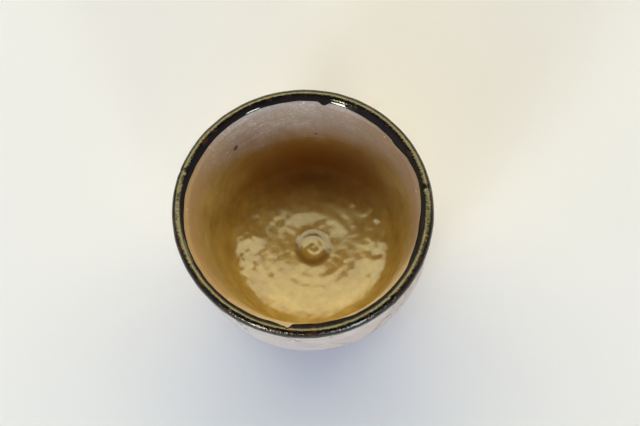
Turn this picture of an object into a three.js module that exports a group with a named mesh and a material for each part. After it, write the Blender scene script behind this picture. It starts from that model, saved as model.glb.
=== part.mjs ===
// A hand-thrown stoneware sake cup, taken apart into what it was made from: the thrown clay body,
// the foot ring luted under it with slip, the pale glaze coats inside and outside, the amber glaze
// that ran down and pooled over the floor, and the dark iron glaze that the lip was dipped in.
// Millimetres, +Z up. The origin is the centre of the foot's resting face, and -Y is the front.
import * as THREE from "three";

// Clay body
const LIP_HEIGHT = 46; // crest of the clay lip above the table
const RIM_RADIUS = 31.15; // outside of the wall just under the lip
const LIP_THICKNESS = 2.3; // clay wall just under the lip
const LIP_INNER_DROP = 2.1; // the lip's long inside slope, crest to wall
const LIP_OUTER_DROP = 0.4; // the lip's tight outside round, crest to wall
const LIP_SLOPE = 5; // degrees by which the lip's crest falls towards the inside
const CREST_INSET = 0.25; // crest of the lip, in from the outside of the wall
const HIP_INSET = 2.45; // the hip, where the wall starts to turn under, in from the rim
const HIP_HEIGHT = 17;
const HIP_LEAN = 13.5; // degrees from upright, outwards, of the wall at the hip
const BASE_RADIUS = 18.6; // edge of the flat underside
const FLOOR_THICKNESS = 5.7;
const FLOOR_RADIUS = 23; // inside, where the floor's curve becomes the wall
const FLOOR_CORNER_RISE = 5.4; // height of that place above the floor
const SPIRAL_HEIGHT = 0.5; // the small mound that the last turn of the wheel left
const SPIRAL_TOP = 1.8; // radius of the mound's flat top
const SPIRAL_SIDE = 3.2; // width of its sloping side

// Foot ring and the slip that holds it
const FOOT_HEIGHT = 5; // table to the underside of the clay body
const FOOT_RADIUS = 17; // outside, at the joint
const FOOT_WIDTH = 4.4; // the ring's width at the joint
const FOOT_TAPER = 0.5; // the ring narrows by this on each side towards the table
const FOOT_CHAMFER = 0.5; // worn edges of the resting face
const SLIP_THICKNESS = 0.4;
const SLIP_SQUEEZE = 0.5; // slip that squeezed out past the ring on each side

// Glaze coats
const BOND_GAP = 0.1; // between each coat and what it was fired onto
const COAT = 0.4; // pale glaze, inside and outside
const IRON_COAT = 0.45; // dark glaze over the pale glaze at the lip
const IRON_INNER_DROP = 1.5; // from the crest down the inside, along the surface
const IRON_OUTER_DROP = 1.9; // from the crest down the outside, along the surface
const POOL_DEPTH = 0.8; // amber glaze at the floor's centre
const POOL_LENGTH = 38.5; // from the floor's centre to the pool's upper edge, along the surface
const GLAZE_RISE = 2.6; // the outside coat ends this far above the bare underside
const EDGE_SHARE = 0.35; // a coat thins to this share of its thickness at a free edge
const EDGE_ROLL = 0.8; // length over which it thins

// Marks of the hand and of the running glaze. Each is a wave round the cup with so many lobes, or a
// single run with a half width in degrees, and stands at an angle in degrees from the front.
const OVAL = { size: 0.45, lobes: 2, at: 46 };
const TRIANGLE = { size: 0.12, lobes: 3, at: 2 };
const LIP_WAVE = { size: 0.2, lobes: 2, at: 110 };
const LINE_WAVES = [
  { size: 0.9, lobes: 2, at: 70 },
  { size: 0.5, lobes: 5, at: 20 },
];
// The iron glaze's own marks are shares of how far it comes down.
const IRON_WAVES = [
  { size: 0.07, lobes: 3, at: 40 },
  { size: 0.06, lobes: 7, at: 15 },
];
const IRON_RUNS = [
  { size: 0.25, width: 14, at: 58 },
  { size: -0.25, width: 9, at: 90 },
  { size: 0.3, width: 18, at: 122 },
  { size: 0.5, width: 6, at: 154 },
  { size: -0.3, width: 32, at: 300 },
  { size: -0.4, width: 6, at: 337 },
  { size: 0.35, width: 12, at: 352 },
];

// Fullness of the outline's curves: the length of a curve's handle over the reach of that curve
const FLOOR_FLATNESS = 0.75;
const CORNER_FULLNESS = 0.9;
const LIP_FULLNESS = 0.24;
const CREST_FULLNESS = 0.65;
const SIDE_FULLNESS = 0.3;
const HIP_FULLNESS = 0.55;

// How finely the curves are cut
const SEGMENTS = 48;
const FLOOR_STEPS = 20;
const WALL_STEPS = 3;
const LIP_STEPS = 5;
const CREST_STEPS = 4;
const SIDE_STEPS = 5;
const HIP_STEPS = 11;
const STATION_GAP = 0.06; // outline points closer than this along the skin become one

const clay = new THREE.MeshStandardMaterial({ color: 0x8a6f57, roughness: 0.9, metalness: 0 });
const slip = new THREE.MeshStandardMaterial({ color: 0x94795f, roughness: 0.95, metalness: 0 });
const paleGlaze = new THREE.MeshStandardMaterial({ color: 0xb9ada0, roughness: 0.4, metalness: 0 });
const beigeGlaze = new THREE.MeshStandardMaterial({ color: 0xa8937c, roughness: 0.5, metalness: 0 });
const amberGlaze = new THREE.MeshStandardMaterial({ color: 0x8a6427, roughness: 0.15, metalness: 0 });
const ironGlaze = new THREE.MeshStandardMaterial({ color: 0x17120e, roughness: 0.12, metalness: 0 });

const { clamp, degToRad, radToDeg, lerp } = THREE.MathUtils;
const at = (radius, height) => new THREE.Vector2(radius, height);
const past = (point, run, length) => point.clone().addScaledVector(run, length);

// The size of one mark at an angle.
function markAt(mark, angle) {
  const from = angle - degToRad(mark.at);
  if (mark.lobes) return mark.size * Math.cos(mark.lobes * from);
  const away = radToDeg(Math.atan2(Math.sin(from), Math.cos(from)));
  return mark.size * Math.exp(-((away / mark.width) ** 2));
}

function marksAt(marks, angle) {
  return marks.reduce((sum, mark) => sum + markAt(mark, angle), 0);
}

// Skin of the clay: its outline from the floor's centre, up the inside, over the lip and down the
// outside to the edge of the flat underside.
const floorHeight = FOOT_HEIGHT + FLOOR_THICKNESS;
const floorCentre = at(0, floorHeight);
const corner = at(FLOOR_RADIUS, floorHeight + FLOOR_CORNER_RISE);
const lipInside = at(RIM_RADIUS - LIP_THICKNESS, LIP_HEIGHT - LIP_INNER_DROP);
const crest = at(RIM_RADIUS - CREST_INSET, LIP_HEIGHT);
const lipOutside = at(RIM_RADIUS, LIP_HEIGHT - LIP_OUTER_DROP);
const hip = at(RIM_RADIUS - HIP_INSET, HIP_HEIGHT);
const baseEdge = at(BASE_RADIUS, FOOT_HEIGHT);

const level = at(1, 0);
const down = at(0, -1);
const lipRun = at(Math.cos(degToRad(LIP_SLOPE)), Math.sin(degToRad(LIP_SLOPE)));
const wallRun = lipInside.clone().sub(corner).normalize();
const hipRun = at(-Math.sin(degToRad(HIP_LEAN)), -Math.cos(degToRad(HIP_LEAN)));
const sideDrop = lipOutside.y - hip.y;
const hipDrop = hip.y - baseEdge.y;
const hipReach = hip.x - baseEdge.x;

// A curve that leaves its start and reaches its end along the given handles.
function bend(steps, start, startHandle, endHandle, end) {
  return new THREE.CubicBezierCurve(start, startHandle, endHandle, end).getPoints(steps);
}

function spiralMound(point) {
  const share = clamp((point.x - SPIRAL_TOP) / SPIRAL_SIDE, 0, 1);
  return at(point.x, point.y + (SPIRAL_HEIGHT * (1 + Math.cos(Math.PI * share))) / 2);
}

const floorCurve = bend(
  FLOOR_STEPS,
  floorCentre,
  past(floorCentre, level, FLOOR_RADIUS * FLOOR_FLATNESS),
  past(corner, wallRun, -FLOOR_CORNER_RISE * CORNER_FULLNESS),
  corner,
).map(spiralMound);
const wallCurve = new THREE.LineCurve(corner, lipInside).getPoints(WALL_STEPS);
const lipCurve = bend(
  LIP_STEPS,
  lipInside,
  past(lipInside, wallRun, LIP_INNER_DROP * LIP_FULLNESS),
  past(crest, lipRun, -(LIP_THICKNESS - CREST_INSET) * LIP_FULLNESS),
  crest,
);
const crestCurve = bend(
  CREST_STEPS,
  crest,
  past(crest, level, CREST_INSET * CREST_FULLNESS),
  past(lipOutside, down, -LIP_OUTER_DROP * CREST_FULLNESS),
  lipOutside,
);
const sideCurve = bend(
  SIDE_STEPS,
  lipOutside,
  past(lipOutside, down, sideDrop * SIDE_FULLNESS),
  past(hip, hipRun, -sideDrop * SIDE_FULLNESS),
  hip,
);
const hipCurve = bend(
  HIP_STEPS,
  hip,
  past(hip, hipRun, hipDrop * HIP_FULLNESS),
  past(baseEdge, level, hipReach * HIP_FULLNESS),
  baseEdge,
);
const curves = [floorCurve, wallCurve, lipCurve, crestCurve, sideCurve, hipCurve];
const skin = curves.flatMap((curve, i) => (i ? curve.slice(1) : curve));

// Length along the skin at each of its points, and the direction out of the clay there.
const reach = [0];
skin.slice(1).forEach((point, i) => reach.push(reach[i] + point.distanceTo(skin[i])));
const outward = skin.map((_, i) => {
  const before = skin[Math.max(0, i - 1)];
  const after = skin[Math.min(skin.length - 1, i + 1)];
  return at(before.y - after.y, after.x - before.x).normalize();
});
outward[0].set(0, 1);

const reachOf = (place) => reach[skin.findIndex((point) => point.equals(place))];
const crestAt = reachOf(crest);
const hipAt = reachOf(hip);
const glazeEnd = reachAtHeight(FOOT_HEIGHT + GLAZE_RISE);

// The length along the skin at which its outside comes down to a height.
function reachAtHeight(height) {
  const after = skin.findIndex((point, i) => reach[i] > crestAt && point.y <= height);
  const share = (skin[after - 1].y - height) / (skin[after - 1].y - skin[after].y);
  return lerp(reach[after - 1], reach[after], share);
}

// A point that stands off the skin by a lift, at a length along it.
function offSkin(length, lift) {
  const after = Math.max(1, reach.findIndex((r) => r >= length));
  const share = (length - reach[after - 1]) / (reach[after] - reach[after - 1]);
  const normal = outward[after - 1].clone().lerp(outward[after], share).normalize();
  return skin[after - 1].clone().lerp(skin[after], share).addScaledVector(normal, lift);
}

// Lengths along the skin at which a coat's outline has its points: its ends, where it starts to thin
// and each of the skin's own points between.
function coatStations(from, to, thins) {
  const ends = [from, to];
  if (thins[0]) ends.push(from + EDGE_ROLL);
  if (thins[1]) ends.push(to - EDGE_ROLL);
  const isClear = (r) => r > from && r < to && ends.every((end) => Math.abs(end - r) > STATION_GAP);
  return [...ends, ...reach.filter(isClear)].sort((a, b) => a - b);
}

// Outline of a coat between two lengths along the skin. It closes on itself, or on the axis if it
// starts there. Its free edges thin out, and what lies before and after the place where it holds is
// stretched by a share of its length.
function coatOutline({ from, to, lift, thickness, thins = [false, false], hold = to, stretch = [0, 0] }) {
  const place = (length) => hold + (length - hold) * (1 + stretch[length < hold ? 0 : 1]);
  const thicknessAt = (length) => {
    const free = Math.min(thins[0] ? length - from : Infinity, thins[1] ? to - length : Infinity);
    return thickness(length) * lerp(EDGE_SHARE, 1, Math.min(1, free / EDGE_ROLL));
  };
  const stations = coatStations(from, to, thins);
  const back = stations.map((length) => offSkin(place(length), lift));
  const front = stations.map((length) => offSkin(place(length), lift + thicknessAt(length)));
  const outline = [...back, ...front.reverse()];
  return from > 0 ? [...outline, back[0]] : outline;
}

// Where a point of an outline lies once turned to an angle, with the wheel's and the hand's unevenness,
// which grows from nothing at the foot and the axis to its full size at the lip.
function thrown(point, angle) {
  const grow = (point.y / LIP_HEIGHT) ** 2 * (point.x / RIM_RADIUS);
  const radius = point.x + grow * marksAt([OVAL, TRIANGLE], angle);
  const height = point.y + grow * markAt(LIP_WAVE, angle);
  return [radius * Math.sin(angle), -radius * Math.cos(angle), height];
}

// A turned piece whose outline may change with the angle.
function turned(name, material, outlineAt) {
  const count = outlineAt(0).length;
  const geometry = new THREE.LatheGeometry(outlineAt(0), SEGMENTS);
  const position = geometry.getAttribute("position");
  for (let turn = 0; turn <= SEGMENTS; turn++) {
    const angle = (turn / SEGMENTS) * 2 * Math.PI;
    outlineAt(angle).forEach((point, i) => position.setXYZ(turn * count + i, ...thrown(point, angle)));
  }
  geometry.computeVertexNormals();
  const mesh = new THREE.Mesh(geometry, material);
  mesh.name = name;
  return mesh;
}

function clayBody() {
  const outline = [at(0, FOOT_HEIGHT), ...skin.toReversed()];
  return turned("clay_body", clay, () => outline);
}

function footRing() {
  const top = FOOT_HEIGHT - SLIP_THICKNESS - 2 * BOND_GAP;
  const inside = FOOT_RADIUS - FOOT_WIDTH;
  const outline = [
    at(inside, top),
    at(inside + FOOT_TAPER, FOOT_CHAMFER),
    at(inside + FOOT_TAPER + FOOT_CHAMFER, 0),
    at(FOOT_RADIUS - FOOT_TAPER - FOOT_CHAMFER, 0),
    at(FOOT_RADIUS - FOOT_TAPER, FOOT_CHAMFER),
    at(FOOT_RADIUS, top),
    at(inside, top),
  ];
  return turned("foot_ring", clay, () => outline);
}

function footSlip() {
  const top = FOOT_HEIGHT - BOND_GAP;
  const bottom = top - SLIP_THICKNESS;
  const inside = FOOT_RADIUS - FOOT_WIDTH;
  const outline = [
    at(inside - SLIP_SQUEEZE, top),
    at(inside, bottom),
    at(FOOT_RADIUS, bottom),
    at(FOOT_RADIUS + SLIP_SQUEEZE, top),
    at(inside - SLIP_SQUEEZE, top),
  ];
  return turned("foot_luting_slip", slip, () => outline);
}

function innerGlaze() {
  const outline = coatOutline({
    from: POOL_LENGTH + BOND_GAP,
    to: crestAt - BOND_GAP / 2,
    lift: BOND_GAP,
    thickness: () => COAT,
  });
  return turned("inner_glaze", beigeGlaze, () => outline);
}

function poolGlaze() {
  const deepening = (length) => (1 + Math.cos((Math.PI * length) / POOL_LENGTH)) / 2;
  const outline = coatOutline({
    from: 0,
    to: POOL_LENGTH,
    lift: BOND_GAP,
    thickness: (length) => lerp(COAT, POOL_DEPTH, deepening(length)),
  });
  return turned("pool_glaze", amberGlaze, () => outline);
}

function outerGlaze() {
  const outlineAt = (angle) =>
    coatOutline({
      from: crestAt + BOND_GAP / 2,
      to: glazeEnd,
      lift: BOND_GAP,
      thickness: () => COAT,
      thins: [false, true],
      hold: hipAt,
      stretch: [0, marksAt(LINE_WAVES, angle) / (glazeEnd - hipAt)],
    });
  return turned("outer_glaze", paleGlaze, outlineAt);
}

function rimIronGlaze() {
  const outlineAt = (angle) =>
    coatOutline({
      from: crestAt - IRON_INNER_DROP,
      to: crestAt + IRON_OUTER_DROP,
      lift: BOND_GAP + COAT + BOND_GAP,
      thickness: () => IRON_COAT,
      thins: [true, true],
      hold: crestAt,
      stretch: [marksAt([...IRON_WAVES, ...IRON_RUNS], angle), marksAt(IRON_WAVES, angle)],
    });
  return turned("rim_iron_glaze", ironGlaze, outlineAt);
}

const clayWork = new THREE.Group();
clayWork.add(clayBody(), footSlip(), footRing());
const glazeWork = new THREE.Group();
glazeWork.add(innerGlaze(), poolGlaze(), outerGlaze(), rimIronGlaze());

const sakeCup = new THREE.Group();
sakeCup.add(clayWork, glazeWork);

export default sakeCup;
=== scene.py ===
import math
import bpy
import numpy as np
from mathutils import Matrix, Vector


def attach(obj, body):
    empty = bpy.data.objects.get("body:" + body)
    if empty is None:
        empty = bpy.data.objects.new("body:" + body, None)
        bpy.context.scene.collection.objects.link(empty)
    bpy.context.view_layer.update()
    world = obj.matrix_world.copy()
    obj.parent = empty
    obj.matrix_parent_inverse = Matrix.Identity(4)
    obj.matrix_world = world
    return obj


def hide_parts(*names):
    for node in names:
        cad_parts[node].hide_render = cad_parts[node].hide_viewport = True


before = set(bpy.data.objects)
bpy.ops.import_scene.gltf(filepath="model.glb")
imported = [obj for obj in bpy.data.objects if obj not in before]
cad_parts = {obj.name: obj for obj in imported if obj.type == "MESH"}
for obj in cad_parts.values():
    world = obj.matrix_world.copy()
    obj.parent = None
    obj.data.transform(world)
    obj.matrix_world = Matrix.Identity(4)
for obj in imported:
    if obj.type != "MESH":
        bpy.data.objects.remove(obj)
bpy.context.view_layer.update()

# Clay body: the thrown cup itself, of sandy brown stoneware. Its wall was pulled up on the wheel in one
# go, its underside was cut with a trimming tool, and all but the lowest band of it is under glaze.
# Its outline, in millimetres, runs from the floor's centre up the inside, over the lip and down outside.
MILLIMETRE = 0.001
TURNS = 384
CURVE_STEPS = 240
LIP_HEIGHT = 46.0
RIM_RADIUS = 31.15
LIP_SLOPE = math.radians(5)
MOUND_TOP, MOUND_RADIUS, MOUND_HEIGHT = 1.8, 5.0, 0.5
HIP_LEAN = math.radians(13.5)
UNDERSIDE = 5.0
FOOT_INSIDE, FOOT_OUTSIDE = 12.6, 17.0
NUB_HEIGHT, NUB_RADIUS = 0.55, 1.7
TRIM_DEPTH, TRIM_PITCH = 0.07, 1.7
TRIM_START, TRIM_REACH, TRIM_FADE = 0.8, 12.0, 1.5
TRIM_SWELLS = [(0.04, 9, 3)]
BARE_LENGTH, BARE_SPACING, UNDER_SPACING = 9.6, 0.4, 0.33
# size, number of crests and bearing of one crest of the waves that the hand left round the cup
RIM_OVAL, RIM_TRIANGLE, LIP_WARP = (0.45, 2, 46), (0.12, 3, 2), (0.2, 2, 110)
# lengths of the handles that bend each run of the outline
FLOOR_HANDLE, CORNER_HANDLE = 17.25, 4.86
WALL_HANDLE, LIP_HANDLE = 9, 0.5
CREST_HANDLE, LIP_FALL_HANDLE = 0.16, 0.26
SIDE_HANDLE, HIP_HANDLE, BASE_HANDLE = 8.58, 6.6, 5.555

floor_centre = np.array((0.0, 10.7))
floor_corner = np.array((23.0, 16.1))
lip_inside = np.array((28.85, 43.9))
lip_crest = np.array((30.9, LIP_HEIGHT))
lip_outside = np.array((RIM_RADIUS, 45.6))
hip = np.array((28.7, 17.0))
base_edge = np.array((18.6, UNDERSIDE))
wall_run = (lip_inside - floor_corner) / np.linalg.norm(lip_inside - floor_corner)
lip_run = np.array((math.cos(LIP_SLOPE), math.sin(LIP_SLOPE)))
hip_run = np.array((-math.sin(HIP_LEAN), -math.cos(HIP_LEAN)))
level, down = np.array((1.0, 0.0)), np.array((0.0, -1.0))


def bent(start, leaving, reaching, end):
    """Points of a curve that leaves its start and reaches its end along the given handles."""
    t = np.linspace(0, 1, CURVE_STEPS + 1)[:, None]
    first, second = start + leaving, end - reaching
    first_half = (1 - t) ** 3 * start + 3 * (1 - t) ** 2 * t * first
    return first_half + 3 * (1 - t) * t ** 2 * second + t ** 3 * end


def mound(radius):
    """Share of the mound's height at a radius, from 1 on its top to 0 at its foot."""
    return 0.5 + 0.5 * np.cos(np.pi * np.clip((radius - MOUND_TOP) / (MOUND_RADIUS - MOUND_TOP), 0, 1))


floor_curve = bent(floor_centre, FLOOR_HANDLE * level, CORNER_HANDLE * wall_run, floor_corner)
floor_curve[:, 1] += MOUND_HEIGHT * mound(floor_curve[:, 0])
skin = np.concatenate([
    floor_curve,
    bent(floor_corner, WALL_HANDLE * wall_run, WALL_HANDLE * wall_run, lip_inside)[1:],
    bent(lip_inside, LIP_HANDLE * wall_run, LIP_HANDLE * lip_run, lip_crest)[1:],
    bent(lip_crest, CREST_HANDLE * lip_run, LIP_FALL_HANDLE * down, lip_outside)[1:],
    bent(lip_outside, SIDE_HANDLE * down, SIDE_HANDLE * hip_run, hip)[1:],
    bent(hip, HIP_HANDLE * hip_run, -BASE_HANDLE * level, base_edge)[1:],
])
reach = np.concatenate([[0], np.cumsum(np.linalg.norm(np.diff(skin, axis=0), axis=1))])
run = np.gradient(skin, axis=0)
outward = np.stack([-run[:, 1], run[:, 0]], axis=1) / np.linalg.norm(run, axis=1)[:, None]
outward[0] = (0, 1)


def reach_of(place):
    """Length along the skin at which it passes a place of its outline."""
    return reach[np.argmin(np.linalg.norm(skin - place, axis=1))]


def off_skin(length, lift):
    """Radius and height of points at a length along the skin that stand off it by a lift."""
    radius = np.interp(length, reach, skin[:, 0]) + lift * np.interp(length, reach, outward[:, 0])
    height = np.interp(length, reach, skin[:, 1]) + lift * np.interp(length, reach, outward[:, 1])
    return np.maximum(radius, 0), height


def lobes(angle, size, count, at):
    """A wave round the cup, given by its size, its number of crests and the bearing of one."""
    return size * np.cos(count * (angle - math.radians(at)))


def thrown(radius, height, angle):
    """The hand's unevenness, which grows from nothing at the foot to its full size at the lip."""
    grow = (height / LIP_HEIGHT) ** 2 * (radius / RIM_RADIUS)
    wobble = lobes(angle, *RIM_OVAL) + lobes(angle, *RIM_TRIANGLE)
    return radius + grow * wobble, height + grow * lobes(angle, *LIP_WARP)


def unevenness(radius, height, angle, spacing, seed, waves=40):
    """A soft random relief, about 1 high either way, with swells about a spacing apart."""
    draw = np.random.default_rng(seed)
    ways = draw.normal(size=(waves, 3))
    ways *= 2 * np.pi / np.linalg.norm(ways, axis=1)[:, None]
    ways /= spacing * draw.uniform(0.7, 1.7, size=(waves, 1))
    starts = draw.uniform(0, 2 * np.pi, size=waves)
    x, y = radius * np.sin(angle), -radius * np.cos(angle)
    total = sum(np.cos(w[0] * x + w[1] * y + w[2] * height + s) for w, s in zip(ways, starts))
    return total * math.sqrt(2 / waves)


def swells(radius, height, angle, layers):
    """Soft random reliefs laid over one another, each given by its height, spacing and seed."""
    return sum(size * unevenness(radius, height, angle, spacing, seed) for size, spacing, seed in layers)


def turn(name, outline, turns=TURNS):
    """Lays a ring of points on an outline and spins it round the wheel's axis."""
    bpy.ops.object.select_all(action="DESELECT")
    bpy.ops.mesh.primitive_circle_add(vertices=len(outline), radius=MILLIMETRE)
    piece = bpy.context.object
    piece.name = piece.data.name = name
    piece.data.vertices.foreach_set("co", (np.insert(outline, 1, 0, axis=1) * MILLIMETRE).ravel())
    bpy.ops.object.modifier_add(type="SCREW")
    wheel = piece.modifiers[-1]
    wheel.steps = wheel.render_steps = turns
    bpy.ops.object.modifier_apply(modifier=wheel.name)
    bpy.ops.object.mode_set(mode="EDIT")
    bpy.ops.mesh.select_all(action="SELECT")
    bpy.ops.mesh.remove_doubles(threshold=1e-6)
    bpy.ops.mesh.delete_loose()
    bpy.ops.mesh.select_all(action="SELECT")
    bpy.ops.mesh.normals_make_consistent(inside=False)
    bpy.ops.object.mode_set(mode="OBJECT")
    return piece


def work_by_hand(piece, outline, place):
    """Moves each point of a turned piece to where place(station, angle) puts it, as the hand and the
    running glaze did, and returns the station on the outline of each point."""
    count = len(piece.data.vertices)
    points = np.empty(count * 3)
    piece.data.vertices.foreach_get("co", points)
    points = points.reshape(count, 3) / MILLIMETRE
    radius, angle = np.hypot(points[:, 0], points[:, 1]), np.arctan2(points[:, 0], -points[:, 1])
    station = np.empty(count, dtype=int)
    for some in np.array_split(np.arange(count), count // 5000 + 1):
        away = np.hypot(radius[some, None] - outline[:, 0], points[some, 2, None] - outline[:, 1])
        station[some] = away.argmin(axis=1)
    radius, height = thrown(*place(station, angle), angle)
    points = np.stack([radius * np.sin(angle), -radius * np.cos(angle), height], axis=1)
    piece.data.vertices.foreach_set("co", (points * MILLIMETRE).ravel())
    piece.data.update()
    return station


def finish(piece, material, node, crease=40):
    """Smooths a piece, gives it its finish and sets it in the frame in place of its solid."""
    bpy.ops.object.select_all(action="DESELECT")
    piece.select_set(True)
    bpy.context.view_layer.objects.active = piece
    bpy.ops.object.shade_smooth_by_angle(angle=math.radians(crease))
    piece.data.materials.clear()
    piece.data.materials.append(material)
    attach(piece, "root")
    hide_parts(node)


def paint(red, green, blue):
    """A colour in screen values, 0 to 255, as a shader takes it."""
    shares = [value / 255 for value in (red, green, blue)]
    return (*[s / 12.92 if s <= 0.04045 else ((s + 0.055) / 1.055) ** 2.4 for s in shares], 1.0)


def node(tree, kind, inputs=None, **settings):
    """Adds a shader node with its settings, and with its inputs set or linked."""
    made = tree.nodes.new("ShaderNode" + kind)
    for name, value in settings.items():
        setattr(made, name, value)
    for name, value in (inputs or {}).items():
        if isinstance(value, bpy.types.NodeSocket):
            tree.links.new(value, made.inputs[name])
        else:
            made.inputs[name].default_value = value
    return made


def noise(tree, vector, scale, detail=3.0, rough=0.55, stretch=None):
    """A cloudy texture from 0 to 1, drawn out along the axes where a stretch is given."""
    if stretch:
        vector = node(tree, "Mapping", {"Vector": vector, "Scale": stretch}).outputs[0]
    inputs = {"Vector": vector, "Scale": scale, "Detail": detail, "Roughness": rough}
    return node(tree, "TexNoise", inputs).outputs[0]


def step(tree, value, low, high, start=0.0, end=1.0):
    """A soft step from start to end as a value goes from low to high."""
    inputs = {"Value": value, "From Min": low, "From Max": high, "To Min": start, "To Max": end}
    return node(tree, "MapRange", inputs, interpolation_type="SMOOTHSTEP").outputs[0]


def maths(tree, operation, first, second=0.0, third=0.0):
    """The result of a sum on values that change over the surface."""
    return node(tree, "Math", {0: first, 1: second, 2: third}, operation=operation).outputs[0]


def times(tree, *factors):
    """The product of two or more values."""
    product = factors[0]
    for factor in factors[1:]:
        product = maths(tree, "MULTIPLY", product, factor)
    return product


def swayed(tree, value, texture, by):
    """A value pushed either way, by up to half of an amount, where a texture is high or low."""
    return maths(tree, "MULTIPLY_ADD", maths(tree, "SUBTRACT", texture, 0.5), by, value)


def mixed(tree, share, first, second):
    """A colour that goes from the first to the second as the share goes from 0 to 1."""
    return node(tree, "Mix", {0: share, 6: first, 7: second}, data_type="RGBA").outputs[2]


def new_group(name, inputs, outputs):
    """A shader node group with named sockets: kinds are Float, Color or Vector."""
    tree = bpy.data.node_groups.new(name, "ShaderNodeTree")
    for label, kind in inputs:
        tree.interface.new_socket(label, in_out="INPUT", socket_type="NodeSocket" + kind)
    for label, kind in outputs:
        tree.interface.new_socket(label, in_out="OUTPUT", socket_type="NodeSocket" + kind)
    return tree, tree.nodes.new("NodeGroupInput").outputs


def close_group(tree, outputs):
    """Links what a group puts out to its named sockets."""
    ends = tree.nodes.new("NodeGroupOutput")
    for label, socket in outputs.items():
        tree.links.new(socket, ends.inputs[label])


def placed(tree, group, inputs):
    """A group placed in a material, with its inputs set or linked."""
    made = tree.nodes.new("ShaderNodeGroup")
    made.node_tree = group
    for name, value in inputs.items():
        if isinstance(value, bpy.types.NodeSocket):
            tree.links.new(value, made.inputs[name])
        else:
            made.inputs[name].default_value = value
    return made.outputs


def new_material(name, **sockets):
    """A material with a plain shader whose unchanging sockets are set by name."""
    material = bpy.data.materials.new(name)
    material.use_nodes = True
    tree = material.node_tree
    tree.nodes.clear()
    shader = node(tree, "BsdfPrincipled")
    for label, value in sockets.items():
        shader.inputs[label.replace("_", " ")].default_value = value
    end = node(tree, "OutputMaterial")
    tree.links.new(shader.outputs[0], end.inputs[0])
    return material, tree, shader


def relief(tree, shader, height, strength, depth):
    """Raises a shader's surface by a height, up to a depth in millimetres."""
    inputs = {"Height": height, "Strength": strength, "Distance": depth * MILLIMETRE}
    tree.links.new(node(tree, "Bump", inputs).outputs[0], shader.inputs["Normal"])


clay_grain, given = new_group(
    "clay_grain", [("Vector", "Vector")], [("Tone", "Float"), ("Grit", "Float"), ("Specks", "Float")])
tree = clay_grain
broad = noise(tree, given["Vector"], 160, 5, 0.62)
sand = noise(tree, given["Vector"], 2200, 4, 0.7)
grit = node(tree, "TexVoronoi", {"Vector": given["Vector"], "Scale": 1100.0}).outputs["Distance"]
dots = node(tree, "TexVoronoi", {"Vector": given["Vector"], "Scale": 620.0}).outputs
rare = step(tree, node(tree, "SeparateColor", {0: dots["Color"]}).outputs[0], 0.72, 0.76)
close_group(tree, {
    "Tone": maths(tree, "ADD", times(tree, broad, 0.7), times(tree, sand, 0.3)),
    "Grit": maths(tree, "SUBTRACT", sand, times(tree, grit, 0.6)),
    "Specks": times(tree, step(tree, dots["Distance"], 0.12, 0.24, 1, 0), rare),
})

CLAY_DARK, CLAY_LIGHT = paint(136, 101, 74), paint(178, 143, 112)
CLAY_FLASH, CLAY_SPECK = paint(146, 88, 54), paint(58, 38, 28)
clay, tree, shader = new_material("bare_clay", Roughness=0.9, IOR=1.45)
spot = node(tree, "TexCoord").outputs["Object"]
grain = placed(tree, clay_grain, {"Vector": spot})
height = node(tree, "SeparateXYZ", {0: spot}).outputs[2]
tone = mixed(tree, step(tree, grain["Tone"], 0.34, 0.66), CLAY_DARK, CLAY_LIGHT)
tone = mixed(tree, step(tree, height, 0.0052, 0.0075, 0, 0.75), tone, CLAY_FLASH)
tone = mixed(tree, times(tree, grain["Specks"], 0.8), tone, CLAY_SPECK)
tree.links.new(tone, shader.inputs["Base Color"])
relief(tree, shader, grain["Grit"], 0.8, 0.12)

bare_band = np.arange(0, BARE_LENGTH - BARE_SPACING, BARE_SPACING)
outside_of_clay = reach[-1] - np.concatenate([bare_band, np.linspace(BARE_LENGTH, reach[-1], 90)])
trimmed_disc = np.arange(0, TRIM_REACH + 0.2, UNDER_SPACING)
under = np.concatenate([trimmed_disc, np.linspace(FOOT_INSIDE, base_edge[0] - 0.6, 9)])
clay_outline = np.concatenate([
    np.stack([under, np.full(len(under), UNDERSIDE)], axis=1),
    np.stack(off_skin(outside_of_clay, 0), axis=1),
])
clay_outline[-1, 0] = 0


def trimmed_under(station, angle):
    """Marks of the trimming tool round a small nub, inside the place where the foot ring joins."""
    radius, height = clay_outline[station].T
    nub = NUB_HEIGHT * np.exp(-(radius / NUB_RADIUS) ** 2)
    marks = TRIM_DEPTH * np.cos(2 * np.pi * radius / TRIM_PITCH - angle)
    marks *= np.clip(radius / TRIM_START, 0, 1)
    swell = swells(radius, height, angle, TRIM_SWELLS) * (radius < TRIM_REACH)
    trimmed = (marks - nub) * np.clip((TRIM_REACH - radius) / TRIM_FADE, 0, 1) + swell
    return radius, height + np.where(station < len(under), trimmed, 0)


clay_body = turn("clay_body_thrown", clay_outline)
work_by_hand(clay_body, clay_outline, trimmed_under)
finish(clay_body, clay, "clay_body")

# Luting slip: the film of wet clay that held the foot ring to the scored underside. It squeezed out past
# the ring on both sides and was wiped with a finger into a small soft fillet.
SLIP_TOP, SLIP_BOTTOM = 4.98, 4.4
SLIP_SQUEEZE = 0.5
SLIP_TUCK = 0.02
FOOT_MIDDLE = (FOOT_INSIDE + FOOT_OUTSIDE) / 2
SLIP_SWELLS, SLIP_SWELL_MOST = [(0.07, 5, 8)], 0.12
SLIP_DARK, SLIP_LIGHT = paint(140, 104, 78), paint(172, 138, 108)

slip, tree, shader = new_material("luting_slip", Roughness=0.95, IOR=1.4)
spot = node(tree, "TexCoord").outputs["Object"]
grain = placed(tree, clay_grain, {"Vector": spot})
tone = mixed(tree, step(tree, grain["Tone"], 0.35, 0.65), SLIP_DARK, SLIP_LIGHT)
tree.links.new(tone, shader.inputs["Base Color"])
relief(tree, shader, grain["Grit"], 0.6, 0.08)

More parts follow.
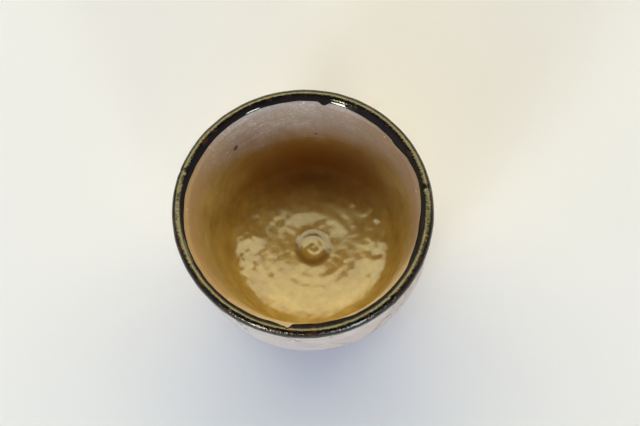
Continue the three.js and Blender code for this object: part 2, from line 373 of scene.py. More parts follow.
share = np.linspace(0, 1, 9)
fillet = SLIP_SQUEEZE * (1 - np.sin(np.pi / 2 * share)) - SLIP_TUCK
drop = SLIP_TOP + (SLIP_BOTTOM - SLIP_TOP) * (1 - np.cos(np.pi / 2 * share))
slip_outline = np.concatenate([
    np.stack([FOOT_INSIDE - fillet, drop], axis=1),
    np.stack([FOOT_OUTSIDE + fillet, drop], axis=1)[::-1],
])


def wiped(station, angle):
    """The squeezed-out slip is fuller in some places than in others."""
    radius, height = slip_outline[station].T
    fuller = np.clip(swells(radius, height, angle, SLIP_SWELLS), -SLIP_SWELL_MOST, SLIP_SWELL_MOST)
    fuller *= np.clip((np.abs(radius - FOOT_MIDDLE) - 2) / 0.4, 0, 1)
    return radius + np.sign(radius - FOOT_MIDDLE) * fuller, height


slip_bead = turn("luting_slip_bead", slip_outline)
work_by_hand(slip_bead, slip_outline, wiped)
finish(slip_bead, slip, "foot_luting_slip", 60)

# Foot ring: a coil of the same clay, thrown onto the turned-over cup and cut to a slight taper. Its
# resting face is bare and worn smooth, with soft edges.
FOOT_TOP = 4.45
FOOT_TAPER = 0.5
FOOT_EDGE = 0.6
FOOT_LINE_DEPTH, FOOT_LINE_PITCH = 0.03, 1.1
FOOT_SWELLS = [(0.05, 6, 12)]

side = np.linspace(0, 1, 12)
quarter = np.linspace(0, np.pi / 2, 6)[1:-1]
rise, fall = FOOT_EDGE * (1 - np.cos(quarter)), FOOT_EDGE * (1 - np.sin(quarter))
inside_low, outside_low = FOOT_INSIDE + FOOT_TAPER, FOOT_OUTSIDE - FOOT_TAPER
foot_outline = np.concatenate([
    np.stack([FOOT_INSIDE + FOOT_TAPER * side, FOOT_TOP + (FOOT_EDGE - FOOT_TOP) * side], axis=1),
    np.stack([inside_low + rise, fall], axis=1),
    np.stack([np.linspace(inside_low + FOOT_EDGE, outside_low - FOOT_EDGE, 8), np.zeros(8)], axis=1),
    np.stack([outside_low - fall, rise], axis=1),
    np.stack([outside_low + FOOT_TAPER * side, FOOT_EDGE + (FOOT_TOP - FOOT_EDGE) * side], axis=1),
    np.stack([np.linspace(FOOT_OUTSIDE, FOOT_INSIDE, 8)[1:-1], np.full(6, FOOT_TOP)], axis=1),
])


def cut_foot(station, angle):
    """Fine tool lines and a little wear on the ring's sides. The resting face stays flat."""
    radius, height = foot_outline[station].T
    free = np.clip(height / 0.8, 0, 1) * np.clip((FOOT_TOP - height) / 0.5, 0, 1)
    lines = FOOT_LINE_DEPTH * np.cos(2 * np.pi * height / FOOT_LINE_PITCH - angle)
    lines += swells(radius, height, angle, FOOT_SWELLS)
    return radius + free * lines * np.sign(radius - FOOT_MIDDLE), height


foot_ring = turn("foot_ring_turned", foot_outline)
work_by_hand(foot_ring, foot_outline, cut_foot)
finish(foot_ring, clay, "foot_ring")

# Outer glaze: a thin pale ash glaze poured over the outside. It ends in a thick wavy line above the bare
# clay, shows the throwing lines under it, and has a few quick brush strokes of iron pigment beneath.
BACK = 0.1
COAT = 0.4
TUCK = -0.05
GLAZE_RISE = 2.6
OUTER_SPACING = 0.4
OUTER_ROLL, OUTER_CALM = 0.7, 5
OUTER_BEAD, OUTER_BEAD_PLACE, OUTER_BEAD_WIDTH = 0.16, 1.0, 0.8
OUTER_SWELLS = [(0.06, 11, 21), (0.01, 2.4, 22)]
# size, number of crests and bearing of one crest of each wave in the lower edge
GLAZE_WAVES = [(0.9, 2, 70), (0.5, 5, 20), (0.22, 9, 5), (0.12, 17, 11)]
# depth, pitch and number of starts of each set of throwing lines
OUTER_LINES = [(0.045, 3.1, 1), (0.02, 1.3, -2)]
crest_at, hip_at = reach_of(lip_crest), reach_of(hip)
below_crest = reach > crest_at
glaze_end = np.interp(-(UNDERSIDE + GLAZE_RISE), -skin[below_crest, 1], reach[below_crest])


def coat(name, start, end, lift, spacing, lifts, slide=None, turns=TURNS):
    """Turns a glaze coat between two lengths along the skin, with points a spacing apart on its front.
    slide(length, angle) gives how its edges ran, and lifts(drawn, length, angle) how far its back and its
    front stand off the skin where it was drawn at one length and ran to another."""
    fine = np.linspace(start, end, 4000)
    steps = np.diff(np.stack(off_skin(fine, lift), axis=1), axis=0)
    way = np.concatenate([[0], np.cumsum(np.linalg.norm(steps, axis=1))])
    front = np.interp(np.linspace(way[-1], 0, round(way[-1] / spacing)), way, fine)
    back = np.interp(np.linspace(0, way[-1], len(front) // 5), way, fine)
    lengths = np.concatenate([back, front])
    is_front = np.arange(len(lengths)) >= len(back)
    outline = np.stack(off_skin(lengths, np.where(is_front, lift, BACK)), axis=1)
    if start == 0:
        outline[[0, -1], 0] = 0

    def place(station, angle):
        length = lengths[station] if slide is None else slide(lengths[station], angle)
        low, high = lifts(lengths[station], length, angle)
        return off_skin(length, np.where(is_front[station], high, low))

    piece = turn(name, outline, turns)
    return piece, lengths[work_by_hand(piece, outline, place)]


def rolled(distance, roll):
    """Height of a rounded edge, from 0 at the edge to 1 at a roll's distance from it."""
    share = np.clip(distance / roll, 0, 1)
    return np.sqrt(1 - (1 - share) ** 2)


def glaze_line(length, angle):
    """Where a place of the coat ran to: the lower edge waves, and nothing above the hip moves."""
    wave = sum(lobes(angle, *crests) for crests in GLAZE_WAVES)
    past_hip = np.clip((length - hip_at) / (glaze_end - hip_at), 0, 1)
    return length + past_hip * wave


def outer_lifts(drawn, length, angle):
    """Throwing lines and swells that start below the lip, and a bead along the rolled lower edge."""
    radius, height = off_skin(length, BACK + COAT)
    above_edge = glaze_end - drawn
    edge = rolled(above_edge, OUTER_ROLL)
    lines = sum(
        depth * np.cos(2 * np.pi * height / pitch + starts * angle) for depth, pitch, starts in OUTER_LINES)
    swell = swells(radius, height, angle, OUTER_SWELLS)
    bead = OUTER_BEAD * np.exp(-((above_edge - OUTER_BEAD_PLACE) / OUTER_BEAD_WIDTH) ** 2)
    calm = np.clip((drawn - crest_at) / OUTER_CALM, 0, 1)
    front = BACK + COAT + calm * (lines + swell) + bead
    return TUCK + (BACK - TUCK) * edge, TUCK + (front - TUCK) * edge


outer_glaze, _ = coat(
    "outer_glaze_coat", crest_at + 0.05, glaze_end, BACK + COAT, OUTER_SPACING, outer_lifts, glaze_line)

glaze_skin, given = new_group(
    "glaze_skin", [("Vector", "Vector")],
    [("Mottle", "Float"), ("Peel", "Float"), ("Pinholes", "Float"), ("Lines", "Float")])
tree = glaze_skin
cells = node(tree, "TexVoronoi", {"Vector": given["Vector"], "Scale": 430.0}).outputs
some = step(tree, node(tree, "SeparateColor", {0: cells["Color"]}).outputs[1], 0.66, 0.7)
close_group(tree, {
    "Mottle": noise(tree, given["Vector"], 150, 5, 0.6),
    "Peel": noise(tree, given["Vector"], 900, 2, 0.5),
    "Pinholes": times(tree, step(tree, cells["Distance"], 0.07, 0.16, 1, 0), some),
    "Lines": noise(tree, given["Vector"], 1, 3, 0.6, (45, 45, 850)),
})

brush_stroke, given = new_group(
    "brush_stroke",
    [("Vector", "Vector"), ("Start angle", "Float"), ("Start height", "Float"), ("Rise", "Float"),
     ("Lean", "Float"), ("Sweep", "Float"), ("Width", "Float")],
    [("Pigment", "Float")])
tree = brush_stroke
axes = node(tree, "SeparateXYZ", {0: given["Vector"]}).outputs
turned_by = maths(tree, "ARCTAN2", axes[0], times(tree, axes[1], -1.0))
along = maths(tree, "DIVIDE", maths(tree, "SUBTRACT", axes[2], given["Start height"]), given["Rise"])
bow = maths(tree, "MULTIPLY_ADD", along, given["Sweep"], given["Lean"])
middle = maths(tree, "MULTIPLY_ADD", along, bow, given["Start angle"])
aside = maths(tree, "ABSOLUTE", maths(tree, "SUBTRACT", turned_by, middle))
bristle = noise(tree, given["Vector"], 520, 4, 0.7)
taper = times(tree, given["Width"], maths(tree, "MULTIPLY_ADD", along, -0.75, 1.0))
ragged = swayed(tree, aside, bristle, taper)
inside = step(tree, ragged, taper, times(tree, taper, 0.45))
begins, ends = step(tree, along, 0.0, 0.06), step(tree, along, 0.9, 1.0, 1, 0)
worn = step(tree, bristle, 0.3, 0.62, 0.25, 1.0)
close_group(tree, {"Pigment": times(tree, inside, worn, begins, ends)})

# start angle and height, rise, lean, sweep and half width of each stroke: degrees and millimetres
STROKES = [
    (12, 15, 28, 14, 7, 1.6), (9, 14, 20, -9, -6, 1.3), (15, 15, 23, 22, 12, 1.2),
    (6, 14, 13, -16, -5, 1.0),
    (-122, 13, 25, -10, -9, 1.5), (-118, 13, 21, 9, 8, 1.3), (-125, 12, 15, -20, -7, 1.1),
    (118, 14, 24, 10, 10, 1.5), (114, 13, 20, -8, -9, 1.2), (121, 13, 14, 20, 8, 1.1),
]

PALE_DARK, PALE_LIGHT = paint(181, 159, 135), paint(202, 182, 159)
PALE_BLUSH, PALE_LINE = paint(192, 168, 142), paint(162, 138, 120)
PIGMENT_DARK, PIGMENT_RUST = paint(96, 72, 62), paint(134, 84, 58)
PALE_PINHOLE, PALE_SPECK = paint(104, 78, 60), paint(92, 66, 50)
PALE_EDGE = paint(176, 134, 104)

pale, tree, shader = new_material("pale_ash_glaze", IOR=1.45, Coat_Weight=0.12, Coat_Roughness=0.15)
spot = node(tree, "TexCoord").outputs["Object"]
glaze = placed(tree, glaze_skin, {"Vector": spot})
grain = placed(tree, clay_grain, {"Vector": spot})
height = node(tree, "SeparateXYZ", {0: spot}).outputs[2]
tone = mixed(tree, step(tree, glaze["Mottle"], 0.36, 0.64), PALE_DARK, PALE_LIGHT)
blush = step(tree, noise(tree, spot, 62, 3, 0.5), 0.5, 0.68, 0, 0.6)
tone = mixed(tree, blush, tone, PALE_BLUSH)
tone = mixed(tree, step(tree, glaze["Lines"], 0.56, 0.72, 0, 0.4), tone, PALE_LINE)
pigment = None
for angle, low, rise, lean, sweep, width in STROKES:
    stroke = placed(tree, brush_stroke, {
        "Vector": spot, "Start angle": math.radians(angle), "Start height": low * MILLIMETRE,
        "Rise": rise * MILLIMETRE, "Lean": math.radians(lean), "Sweep": math.radians(sweep),
        "Width": width / RIM_RADIUS})["Pigment"]
    pigment = stroke if pigment is None else maths(tree, "MAXIMUM", pigment, stroke)
rusty = mixed(tree, step(tree, glaze["Mottle"], 0.4, 0.6), PIGMENT_DARK, PIGMENT_RUST)
tone = mixed(tree, times(tree, pigment, 0.62), tone, rusty)
tone = mixed(tree, times(tree, glaze["Pinholes"], 0.55), tone, PALE_PINHOLE)
tone = mixed(tree, times(tree, grain["Specks"], 0.28), tone, PALE_SPECK)
low_down = swayed(tree, height, glaze["Mottle"], 0.004)
tone = mixed(tree, step(tree, low_down, 0.0075, 0.0125, 0.55, 0), tone, PALE_EDGE)
tree.links.new(tone, shader.inputs["Base Color"])
tree.links.new(step(tree, glaze["Mottle"], 0.3, 0.7, 0.26, 0.42), shader.inputs["Roughness"])
surface = maths(tree, "MULTIPLY_ADD", glaze["Lines"], 0.4, times(tree, glaze["Peel"], 0.6))
relief(tree, shader, maths(tree, "MULTIPLY_ADD", glaze["Pinholes"], -0.8, surface), 0.5, 0.12)
finish(outer_glaze, pale, "outer_glaze")

# Inner glaze: a thin sandy beige coat on the upper inside, matt and gritty, with fine throwing lines. At
# its lower edge it runs into the amber glaze, so both share one change of colour by height and painted
# light and shade by side.
POOL_LENGTH = 38.5
INNER_SPACING = 0.26
WALL_MARK_DEPTH, WALL_MARK_PITCH = 0.018, 2.7
FLOOR_MARK_DEPTH, FLOOR_MARK_PITCH = 0.014, 3.4
GROOVE_RADIUS, GROOVE_WIDTH, GROOVE_DEPTH, GROOVE_REACH = 4.9, 0.8, 0.03, 10
RING_RADIUS, RING_WIDTH, RING_HEIGHT, RING_REACH = 7.4, 1.5, 0.035, 14
CURL_RADIUS, CURL_HEIGHT, CURL_REACH = 3.1, 0.055, 8
# height, spacing and seed of the swells everywhere inside, and of the lumps on and round the floor
INSIDE_SWELLS = [(0.035, 10, 31), (0.005, 2.2, 32), (0.002, 1.0, 33)]
INSIDE_LUMPS = [(0.045, 3.4, 34), (0.012, 1.5, 35)]


def inside_relief(length, angle, lift):
    """Throwing marks and glaze swells inside: a helix up the wall, rings and a curl on the floor."""
    radius, height = off_skin(length, lift)
    wall = np.clip((length - 16) / 10, 0, 1) * np.clip((crest_at - 1 - length) / 6, 0.25, 1)
    floor = np.clip((length - 6) / 3, 0, 1) * np.clip((26 - length) / 8, 0, 1)
    marks = wall * WALL_MARK_DEPTH * np.cos(2 * np.pi * length / WALL_MARK_PITCH - angle)
    marks += floor * FLOOR_MARK_DEPTH * np.cos(2 * np.pi * length / FLOOR_MARK_PITCH - angle)
    groove = -GROOVE_DEPTH * np.exp(-((radius - GROOVE_RADIUS) / GROOVE_WIDTH) ** 2)
    groove *= length < GROOVE_REACH
    ring = RING_HEIGHT * np.exp(-((radius - RING_RADIUS) / RING_WIDTH) ** 2) * (length < RING_REACH)
    button = np.clip((CURL_RADIUS + 0.4 - radius) / 0.7, 0, 1) * (1 - np.exp(-(radius / 0.7) ** 2))
    curl = CURL_HEIGHT * button * np.cos(2 * np.pi * radius / (0.75 * CURL_RADIUS) - angle)
    curl *= length < CURL_REACH
    swell = swells(radius, height, angle, INSIDE_SWELLS)
    lumpy = np.exp(-((length - 20) / 5) ** 2) + 0.4 * np.exp(-(length / 7) ** 2)
    swell += lumpy * swells(radius, height, angle, INSIDE_LUMPS)
    return marks + groove + ring + curl + swell


def inner_lifts(drawn, length, angle):
    """An even back, and a front with the throwing marks."""
    return np.full(len(drawn), BACK), BACK + COAT + inside_relief(length, angle, BACK + COAT)


inner_glaze, _ = coat(
    "inner_glaze_coat", POOL_LENGTH, crest_at - 0.05, BACK + COAT, INNER_SPACING, inner_lifts)

SAND_DARK, SAND_LIGHT = paint(185, 161, 132), paint(207, 185, 156)
SAND_LINE, SAND_GRIT, SAND_STAIN = paint(166, 136, 102), paint(150, 120, 88), paint(184, 148, 98)
# painted light and shade of the beige: warm light on the left wall, shade on the right, pale light on the
# near wall
SAND_LEFT_PAINTED_LIGHT, SAND_RIGHT_PAINTED_SHADE, SAND_NEAR_PAINTED_LIGHT = paint(196, 152, 82), paint(150, 108, 56), paint(226, 196, 134)
SAND_PINHOLE = paint(236, 228, 212)
HONEY_DARK, HONEY_LIGHT = paint(178, 145, 70), paint(204, 173, 92)
# the far and right honey colours are painted shade
HONEY_FAR_PAINTED_SHADE, HONEY_RIGHT_PAINTED_SHADE, HONEY_GRAIN = paint(148, 94, 32), paint(150, 116, 60), paint(150, 112, 48)
# the ring colour is painted shade round the floor's mound
HONEY_RUN, HONEY_RING_PAINTED_SHADE = paint(140, 100, 46), paint(124, 88, 36)
BURNT, RUST = paint(62, 44, 32), paint(146, 82, 32)

# the inside colours, with painted light and shade by side, on the far wall and round the floor's mound
inside_colour_with_painted_light, given = new_group(
    "inside_colour_with_painted_light", [("Vector", "Vector")],
    [("Colour", "Color"), ("Roughness", "Float"), ("Gloss", "Float"), ("Height", "Float")])
tree = inside_colour_with_painted_light
spot = given["Vector"]
glaze = placed(tree, glaze_skin, {"Vector": spot})
grain = placed(tree, clay_grain, {"Vector": spot})
axes = node(tree, "SeparateXYZ", {0: spot}).outputs
flat = node(tree, "CombineXYZ", {0: axes[0], 1: axes[1]}).outputs[0]
out = node(tree, "VectorMath", {0: flat}, operation="LENGTH").outputs[1]
runs = noise(tree, spot, 1, 3, 0.55, (260, 260, 40))
towards_far = maths(tree, "MULTIPLY_ADD", axes[0], 0.3, axes[1])
# far side mask for painted light and shade: the beige is drawn lower there and the amber darker
far_side_painted_light_and_shade = step(tree, towards_far, 0.007, 0.025)
dulled = step(tree, towards_far, 0.004, 0.018, 1, 0.2)
ragged = swayed(tree, swayed(tree, axes[2], glaze["Mottle"], 0.009), runs, 0.006)
# painted light: on the far side the beige is drawn further down the wall
ragged = maths(tree, "MULTIPLY_ADD", far_side_painted_light_and_shade, 0.006, ragged)
thin = step(tree, ragged, 0.031, 0.043)

sandy = mixed(tree, step(tree, glaze["Mottle"], 0.35, 0.65), SAND_DARK, SAND_LIGHT)
sandy = mixed(tree, step(tree, glaze["Lines"], 0.46, 0.66, 0, 0.5), sandy, SAND_LINE)
sandy = mixed(tree, step(tree, grain["Grit"], 0.15, 0.5, 0.5, 0), sandy, SAND_GRIT)
stained = step(tree, ragged, 0.034, 0.044, 0.6, 0)
sandy = mixed(tree, stained, sandy, SAND_STAIN)
# painted light and shade by side: the left wall warm and lit, the right wall darker in shade, the near wall
# lit pale by the far lamp
sandy = mixed(tree, step(tree, axes[0], -0.01, -0.028, 0, 0.7), sandy, SAND_LEFT_PAINTED_LIGHT)
sandy = mixed(tree, step(tree, axes[0], 0.008, 0.026, 0, 0.65), sandy, SAND_RIGHT_PAINTED_SHADE)
sandy = mixed(tree, step(tree, axes[1], -0.012, -0.026, 0, 0.6), sandy, SAND_NEAR_PAINTED_LIGHT)
sandy = mixed(tree, times(tree, glaze["Pinholes"], 0.5), sandy, SAND_PINHOLE)

honey = mixed(tree, step(tree, glaze["Mottle"], 0.36, 0.64), HONEY_DARK, HONEY_LIGHT)
# painted shade: the amber is darker on the far side, which the far lamp leaves in shade, and a little on
# the right
honey = mixed(tree, times(tree, far_side_painted_light_and_shade, 0.92), honey, HONEY_FAR_PAINTED_SHADE)
honey = mixed(tree, step(tree, axes[0], 0.008, 0.026, 0, 0.2), honey, HONEY_RIGHT_PAINTED_SHADE)
honey = mixed(tree, step(tree, grain["Tone"], 0.4, 0.6, 0, 0.22), honey, HONEY_GRAIN)
honey = mixed(tree, step(tree, runs, 0.45, 0.7, 0, 0.25), honey, HONEY_RUN)
# painted shade: a darker ring round the floor's mound, where its foot slopes away from the light
ring = times(tree, step(tree, out, 0.0024, 0.0037), step(tree, out, 0.0042, 0.0058, 1, 0), 0.75)
honey = mixed(tree, ring, honey, HONEY_RING_PAINTED_SHADE)

# bearing, height and half width of each dark speck that burnt through the glaze: degrees and millimetres
SPECKS = [
    (207, 36.4, 0.75), (206, 36.9, 0.6), (159.5, 31.0, 0.45), (250.5, 41.6, 0.35), (301.6, 38.8, 0.35),
]
both = mixed(tree, thin, honey, sandy)
inside_wall = slice(CURVE_STEPS, 2 * CURVE_STEPS + 1)
for angle, height, size in SPECKS:
    wall_length = np.interp(height, skin[inside_wall, 1], reach[inside_wall])
    wall_radius, _ = off_skin(wall_length, BACK + COAT)
    turned_to = math.radians(angle)
    place = Vector((wall_radius * math.sin(turned_to), -wall_radius * math.cos(turned_to), height))
    away = node(tree, "VectorMath", {0: spot, 1: place * MILLIMETRE}, operation="DISTANCE").outputs[1]
    away = swayed(tree, away, glaze["Peel"], 0.0006)
    mark = step(tree, away, size * 0.6 * MILLIMETRE, size * 1.15 * MILLIMETRE, 0.85, 0)
    both = mixed(tree, mark, both, BURNT)
# one fine rusty crack in the glaze, level under the lip on the near right
CRACK_HEIGHT, CRACK_START, CRACK_END, CRACK_FADE = 42.5, 11, 30, 4
turned_by = maths(tree, "ARCTAN2", axes[0], times(tree, axes[1], -1.0))
aside = swayed(tree, maths(tree, "SUBTRACT", axes[2], CRACK_HEIGHT * MILLIMETRE), glaze["Mottle"], 0.0012)
crack = step(tree, maths(tree, "ABSOLUTE", aside), 0.0001, 0.0005, 0.65, 0)
starts = step(tree, turned_by, math.radians(CRACK_START), math.radians(CRACK_START + CRACK_FADE))
stops = step(tree, turned_by, math.radians(CRACK_END - CRACK_FADE), math.radians(CRACK_END), 1, 0)
both = mixed(tree, times(tree, crack, starts, stops), both, RUST)
gritty = times(tree, grain["Grit"], thin, 0.35)
lined = times(tree, glaze["Lines"], thin, 0.6)
close_group(tree, {
    "Colour": both,
    "Roughness": step(tree, thin, 0, 1, 0.3, 0.5),
    "Gloss": times(tree, step(tree, thin, 0, 1, 0.24, 0.05), dulled),
    "Height": maths(tree, "MULTIPLY_ADD", glaze["Peel"], 0.25, maths(tree, "ADD", gritty, lined)),
})


def inside_finish(name, **sockets):
    """A finish for one of the inside coats, with the colours that they share."""
    material, tree, shader = new_material(name, **sockets)
    spot = node(tree, "TexCoord").outputs["Object"]
    inside = placed(tree, inside_colour_with_painted_light, {"Vector": spot})
    tree.links.new(inside["Colour"], shader.inputs["Base Color"])
    tree.links.new(inside["Roughness"], shader.inputs["Roughness"])
    tree.links.new(inside["Gloss"], shader.inputs["Coat Weight"])
    relief(tree, shader, inside["Height"], 0.5, 0.1)
    return material


beige = inside_finish("sandy_beige_glaze", IOR=1.35, Coat_Roughness=0.1, Coat_IOR=1.5)
finish(inner_glaze, beige, "inner_glaze")

# Amber pool: the glossy honey-brown glaze that ran down the inside and pooled over the floor. It levels
# the small spiral mound that the thrower's last turn left, and a darker ring of painted shade lies round
# it.
POOL_DEPTH = 0.8
POOL_LEVELLING = 0.2
POOL_SPACING = 0.3


def pool_lifts(drawn, length, angle):
    """An even back, and a front that deepens towards the middle and levels the mound there."""
    deepening = 0.5 + 0.5 * np.cos(np.pi * length / POOL_LENGTH)
    front = BACK + COAT + (POOL_DEPTH - COAT) * deepening - POOL_LEVELLING * mound(length)
    return np.full(len(drawn), BACK), front + inside_relief(length, angle, BACK + COAT)


pool_glaze, _ = coat("pool_glaze_coat", 0, POOL_LENGTH, BACK + COAT, POOL_SPACING, pool_lifts)
amber = inside_finish("amber_pool_glaze", IOR=1.12, Coat_Roughness=0.12, Coat_IOR=1.7)
finish(pool_glaze, amber, "pool_glaze")

# Iron rim: a dark iron glaze that the lip was dipped in, over the beige and the pale coat. It is glossy
# brown-black, runs down inside in a ragged line with one drip, and breaks to rust where it lies thin.
IRON_BACK, IRON_FRONT = 0.6, 1.05
IRON_INNER_DROP, IRON_OUTER_DROP = 1.45, 1.9
IRON_LEAST = 0.15
IRON_BEAD, IRON_BEAD_PLACE, IRON_BEAD_WIDTH = 0.18, 0.9, 0.8
IRON_ROLL = 0.5
IRON_SPACING = 0.1
IRON_TURNS = 720
IRON_SWELLS = [(0.02, 5, 41), (0.001, 1.2, 42)]
# size, number of crests and bearing of one crest of the waves in both edges and in the outer edge alone
IRON_WAVES = [(0.04, 13, 8), (0.03, 23, 3), (0.02, 41, 5)]
IRON_OUTER_WAVES = [(0.15, 3, 40), (0.12, 7, 15)]
# how much further the glaze runs down inside, over what half width and at what bearing
RUNS = [
    (-0.2, 9, 38), (0.45, 14, 60), (-0.36, 8, 89), (0.45, 5, 108), (0.45, 17, 124), (0.45, 2.6, 154),
    (0.35, 1.5, 154), (0.2, 13, 224), (-0.42, 37, 293), (-0.35, 4.4, 335), (-0.45, 2.8, 336.6),
    (-0.5, 1.5, 338), (0.62, 13, 352),
]
# bearing and depth of the small chips on the outer edge, and their half widths in degrees and across it
NICKS = [(5, 0.14), (28, 0.14), (83, 0.16), (235, 0.14)]
NICK_TURN, NICK_PLACE, NICK_WIDTH = 1.1, 0.2, 0.5
IRON_BLACK, IRON_BROWN = paint(14, 11, 9), paint(32, 21, 14)
IRON_THIN, IRON_RUST = paint(88, 60, 40), paint(84, 46, 20)


def turned_from(angle, bearing):
    """Degrees from a bearing round to an angle, the shorter way."""
    return np.degrees(np.angle(np.exp(1j * (angle - math.radians(bearing)))))


def iron_drops(angle):
    """How far the glaze comes down from the crest inside and outside."""
    fine = sum(lobes(angle, *crests) for crests in IRON_WAVES)
    inside = IRON_INNER_DROP + fine
    for size, width, bearing in RUNS:
        inside = inside + size * np.exp(-(turned_from(angle, bearing) / width) ** 4)
    outside = IRON_OUTER_DROP + sum(lobes(angle, *crests) for crests in IRON_OUTER_WAVES) + 2 * fine
    return np.maximum(inside, IRON_LEAST), outside


def iron_slide(length, angle):
    """Where a place of the coat ran to, drawn out or held back on each side of the crest."""
    inside, outside = iron_drops(angle)
    share = np.where(length < crest_at, inside / IRON_INNER_DROP, outside / IRON_OUTER_DROP)
    return crest_at + (length - crest_at) * share


def iron_lifts(drawn, length, angle):
    """A coat with rolled edges, a bead round the outer edge and a few chips in it."""
    radius, height = off_skin(length, IRON_FRONT)
    inside, outside = iron_drops(angle)
    edge = rolled(np.minimum(length - crest_at + inside, crest_at + outside - length), IRON_ROLL)
    under = BACK + COAT + TUCK
    past = length - crest_at
    swell = swells(radius, height, angle, IRON_SWELLS)
    swell += IRON_BEAD * np.exp(-((past - IRON_BEAD_PLACE) / IRON_BEAD_WIDTH) ** 2)
    for bearing, depth in NICKS:
        away = (turned_from(angle, bearing) / NICK_TURN) ** 2 + ((past - NICK_PLACE) / NICK_WIDTH) ** 2
        swell -= depth * np.exp(-away)
    return under + (IRON_BACK - under) * edge, under + (IRON_FRONT + swell - under) * edge


rim_iron, iron_length = coat(
    "rim_iron_coat", crest_at - IRON_INNER_DROP, crest_at + IRON_OUTER_DROP, IRON_FRONT, IRON_SPACING,
    iron_lifts, iron_slide, IRON_TURNS)
past_crest = rim_iron.data.attributes.new("past_crest", "FLOAT", "POINT")
past_crest.data.foreach_set("value", iron_length - crest_at)

iron, tree, shader = new_material(
    "iron_rim_glaze", IOR=1.37, Specular_Tint=(1.0, 0.84, 0.5, 1.0), Coat_Roughness=0.03, Coat_IOR=1.5)
spot = node(tree, "TexCoord").outputs["Object"]
glaze = placed(tree, glaze_skin, {"Vector": spot})
past = node(tree, "Attribute", attribute_name="past_crest").outputs["Fac"]
broken = noise(tree, spot, 380, 4, 0.65)
patchy = step(tree, noise(tree, spot, 130, 3, 0.6), 0.42, 0.6, 0.1, 0.85)
tone = mixed(tree, step(tree, glaze["Mottle"], 0.4, 0.66), IRON_BLACK, IRON_BROWN)
ragged = swayed(tree, past, broken, 1.8)
tone = mixed(tree, times(tree, step(tree, ragged, 0.9, 1.7), patchy), tone, IRON_THIN)
on_crest = times(tree, step(tree, ragged, -0.35, -0.1), step(tree, ragged, 0.1, 0.4, 1, 0))
spots = step(tree, noise(tree, spot, 420, 3, 0.6), 0.5, 0.66, 0, 0.55)
tone = mixed(tree, times(tree, on_crest, spots), tone, IRON_RUST)
tree.links.new(tone, shader.inputs["Base Color"])
worn = step(tree, ragged, 0.7, 1.2)
polish = step(tree, broken, 0.3, 0.7, 0.03, 0.07)
tree.links.new(maths(tree, "MULTIPLY_ADD", worn, 0.75, polish), shader.inputs["Roughness"])
tree.links.new(step(tree, worn, 0, 1, 0.11, 0), shader.inputs["Coat Weight"])
crazed = times(tree, noise(tree, spot, 1500, 3, 0.6), step(tree, past, -0.5, 0.15, 0.02, 1.0))
relief(tree, shader, crazed, 0.9, 0.18)
finish(rim_iron, iron, "rim_iron_glaze")

# Table top, lamps and camera: a plain pale table, a wide warm lamp with bright cards on the far side, a
# bluish wall and two cool windows on the near side, and a camera that looks down into the cup with a roll.
TABLE_SIZE = 6.0
table_top, tree, shader = new_material(
    "pale_table", Base_Color=paint(245, 241, 229), Roughness=0.7, Specular_IOR_Level=0.1)
bpy.ops.object.select_all(action="DESELECT")
bpy.ops.mesh.primitive_plane_add(size=TABLE_SIZE)
table = bpy.context.object
table.name = "pale_table"
table.data.materials.append(table_top)


def lamp(name, bearing, climb, distance, size, colour, brightness, lights=True, shows=True):
    """A soft rectangular lamp that faces the cup: bearing in degrees from the front towards the right,
    size across and up in metres, brightness as that of its face, where 1 is a white wall. One that
    lights nothing is a bright card that only shows in the glaze."""
    light = bpy.data.lights.new(name, "AREA")
    light.shape = "RECTANGLE"
    light.size, light.size_y = size
    light.color = colour
    light.energy = brightness * math.pi * size[0] * size[1]
    stand = bpy.data.objects.new(name, light)
    bpy.context.scene.collection.objects.link(stand)
    turned_to, raised = math.radians(bearing), math.radians(climb)
    flat = math.cos(raised)
    way = Vector((math.sin(turned_to) * flat, -math.cos(turned_to) * flat, math.sin(raised)))
    stand.location = way * distance
    stand.rotation_euler = way.to_track_quat("Z", "Y").to_euler()
    stand.visible_camera = False
    stand.visible_diffuse, stand.visible_glossy = lights, shows


FAR_BEARING, FAR_CLIMB, FAR_TOP, FAR_DISTANCE = 162, 55, 74.5, 0.9
FAR_WARM, FAR_OLIVE = (1.0, 0.94, 0.75), (0.98, 1.0, 0.65)
# width in metres and climb of the low edge of each far card: they share their top, so they step down
FAR_CARDS = [(1.2, 56), (1.5, 46), (1.8, 36), (2.1, 24)]
lamp("far_softbox", FAR_BEARING, FAR_CLIMB, FAR_DISTANCE, (1.84, 0.655), FAR_WARM, 2.3, shows=False)
for across, low_edge in FAR_CARDS:
    half = math.radians(FAR_TOP - low_edge) / 2
    size = (across, 2 * FAR_DISTANCE * math.tan(half))
    climb = (FAR_TOP + low_edge) / 2
    lamp("far_card_" + str(low_edge), FAR_BEARING, climb, FAR_DISTANCE, size, FAR_OLIVE, 3.0, lights=False)

# each window is a lamp that lights and, a little nearer, a smaller bright card that shows in the glaze
WINDOW_DISTANCE, CARD_DISTANCE, CARD_BRIGHTNESS = 1.0, 0.9, 85.0
LEFT_BEARING, LEFT_CLIMB = -47, 18
RIGHT_BEARING, RIGHT_CLIMBS = 9, {"low": 11, "high": 26}
lamp("near_wall", -45, 25, 1.2, (1.8, 1.0), (0.08, 0.29, 1.0), 1.05, shows=False)
lamp("near_left_window", LEFT_BEARING, LEFT_CLIMB, WINDOW_DISTANCE, (0.21, 0.36), (0.72, 0.87, 1.0), 19.0,
     shows=False)
lamp("near_left_card", LEFT_BEARING, LEFT_CLIMB, CARD_DISTANCE, (0.13, 0.31), (0.82, 0.92, 1.0),
     CARD_BRIGHTNESS, lights=False)
for pane, climb in RIGHT_CLIMBS.items():
    lamp("near_right_" + pane + "_pane", RIGHT_BEARING, climb, WINDOW_DISTANCE, (0.17, 0.15),
         (0.62, 0.7, 0.72), 23.0, shows=False)
    lamp("near_right_" + pane + "_card", RIGHT_BEARING, climb, CARD_DISTANCE, (0.15, 0.13),
         (0.6, 0.78, 1.0), CARD_BRIGHTNESS, lights=False)

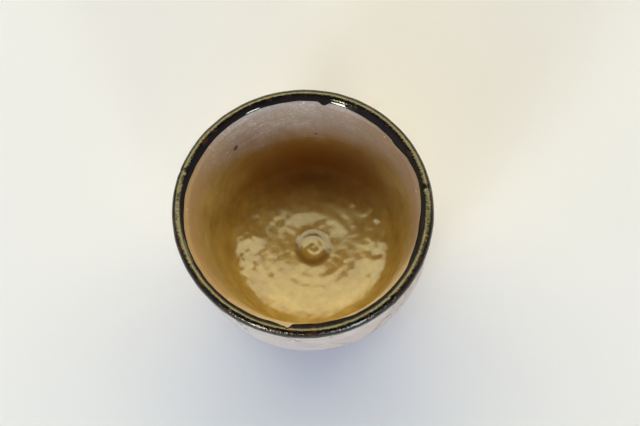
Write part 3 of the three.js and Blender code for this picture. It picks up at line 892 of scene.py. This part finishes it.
ROOM_NEAR, ROOM_FAR, ROOM_ABOVE = (0.33, 0.4, 0.72, 1), (0.48, 0.48, 0.5, 1), (0.05, 0.048, 0.046, 1)
world = bpy.data.worlds.new("studio")
bpy.context.scene.world = world
world.use_nodes = True
tree = world.node_tree
tree.nodes.clear()
way = node(tree, "SeparateXYZ", {0: node(tree, "TexCoord").outputs["Generated"]}).outputs
walls = mixed(tree, step(tree, way[1], -0.5, 0.5), ROOM_NEAR, ROOM_FAR)
room = mixed(tree, step(tree, way[2], 0.35, 0.85), walls, ROOM_ABOVE)
background = node(tree, "Background", {"Color": room, "Strength": 1.0})
tree.links.new(background.outputs[0], node(tree, "OutputWorld").inputs[0])

CAMERA_CLIMB, CAMERA_ROLL = math.radians(72.5), math.radians(16)
FOCAL = 1700.3
IMAGE_WIDTH, IMAGE_HEIGHT = 640, 426
SENSOR = 36.0
# where the rim's middle falls in the image, and where the camera stands, in metres
rim_pixel = (302.84, 211.84)
camera_place = Vector((-0.000003, -0.12703, 0.44761))
level_right, level_up = Vector((1, 0, 0)), Vector((0, math.sin(CAMERA_CLIMB), math.cos(CAMERA_CLIMB)))
forward = Vector((0, math.cos(CAMERA_CLIMB), -math.sin(CAMERA_CLIMB)))
right = level_right * math.cos(CAMERA_ROLL) - level_up * math.sin(CAMERA_ROLL)
above = level_right * math.sin(CAMERA_ROLL) + level_up * math.cos(CAMERA_ROLL)
aside, lower = (rim_pixel[0] - IMAGE_WIDTH / 2) / FOCAL, (rim_pixel[1] - IMAGE_HEIGHT / 2) / FOCAL
forward = (forward - right * aside + above * lower).normalized()
right = forward.cross(above).normalized()
above = right.cross(forward)
lens = bpy.data.cameras.new("camera")
lens.sensor_width = SENSOR
lens.lens = FOCAL * SENSOR / IMAGE_WIDTH
lens.clip_start = 0.01
camera = bpy.data.objects.new("camera", lens)
bpy.context.scene.collection.objects.link(camera)
camera.matrix_world = Matrix((
    (right.x, above.x, -forward.x, camera_place.x),
    (right.y, above.y, -forward.y, camera_place.y),
    (right.z, above.z, -forward.z, camera_place.z),
    (0, 0, 0, 1),
))
bpy.context.scene.camera = camera
bpy.context.scene.view_settings.view_transform = "Standard"
